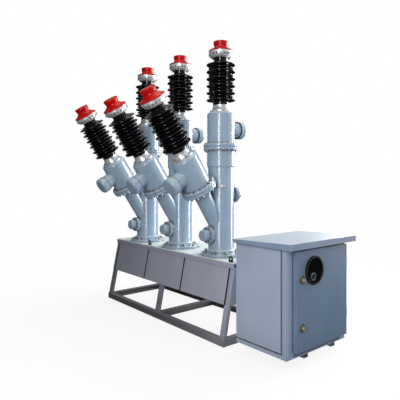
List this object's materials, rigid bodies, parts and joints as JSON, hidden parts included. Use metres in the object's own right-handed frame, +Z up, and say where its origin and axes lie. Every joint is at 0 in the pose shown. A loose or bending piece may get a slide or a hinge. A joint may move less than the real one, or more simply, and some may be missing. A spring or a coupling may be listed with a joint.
{
  "type": "gas insulated breaker",
  "caption": "Outdoor gas insulated breaker: Y-shaped poles with black shed bushings and red caps on a sloped steel stand, and a mechanism cabinet with a hinged door.",
  "frame": {"origin": "centre of the anchor holes in the base rails, on the ground at the middle of the stand", "axes": "+Z up, +X along the row of poles towards the cabinet, +Y away from the inclined bushings"},
  "size_m": [3.145, 1.6521, 3.129],
  "materials": {
    "stand_paint": "satin",
    "tank_paint": "gloss",
    "cabinet_paint": "satin",
    "shed_glaze": "gloss",
    "cast_fitting": "satin",
    "red_paint": "satin",
    "black_rubber": "matte",
    "window_glass": "gloss",
    "indicator": "matte",
    "lock_metal": "satin",
    "hinge_steel": "satin"
  },
  "bodies": {
    "structure": {"base_side_rails": "stand_paint", "base_cross_rails": "stand_paint", "legs": "stand_paint", "top_side_rails": "stand_paint", "top_end_rails": "stand_paint", "top_plate": "stand_paint", "front_panels": "stand_paint", "back_panels": "stand_paint", "end_panels": "stand_paint", "lifting_eyes": "stand_paint", "pole_a_tank": "tank_paint", "pole_a_vertical_housing": "tank_paint", "pole_a_inclined_housing": "tank_paint", "pole_a_vertical_bushing": "shed_glaze", "pole_a_inclined_bushing": "shed_glaze", "pole_b_tank": "tank_paint", "pole_b_vertical_housing": "tank_paint", "pole_b_inclined_housing": "tank_paint", "pole_b_vertical_bushing": "shed_glaze", "pole_b_inclined_bushing": "shed_glaze", "pole_c_tank": "tank_paint", "pole_c_vertical_housing": "tank_paint", "pole_c_inclined_housing": "tank_paint", "pole_c_vertical_bushing": "shed_glaze", "pole_c_inclined_bushing": "shed_glaze", "bushing_fittings": "cast_fitting", "red_caps": "red_paint", "port_covers": "tank_paint", "cabinet_posts": "cabinet_paint", "cabinet_floor": "cabinet_paint", "cabinet_back_wall": "cabinet_paint", "cabinet_far_wall": "cabinet_paint", "cabinet_side_cover": "cabinet_paint", "cabinet_front_rails": "cabinet_paint", "cabinet_roof": "cabinet_paint", "cabinet_feet": "cabinet_paint", "cabinet_link": "cabinet_paint", "hinge_pins": "hinge_steel"},
    "door": {"door": "cabinet_paint", "window_ring": "black_rubber", "window_glass": "window_glass", "window_indicator": "indicator", "door_locks": "lock_metal", "hinge_leaves": "hinge_steel"}
  },
  "joints": [
    {"name": "door_hinge", "type": "hinge", "parent": "structure", "child": "door", "pos_m": [1.9215, 0.4455, 0.6], "axis": [0, 0, 1], "range_deg": [0, 110]}
  ]
}
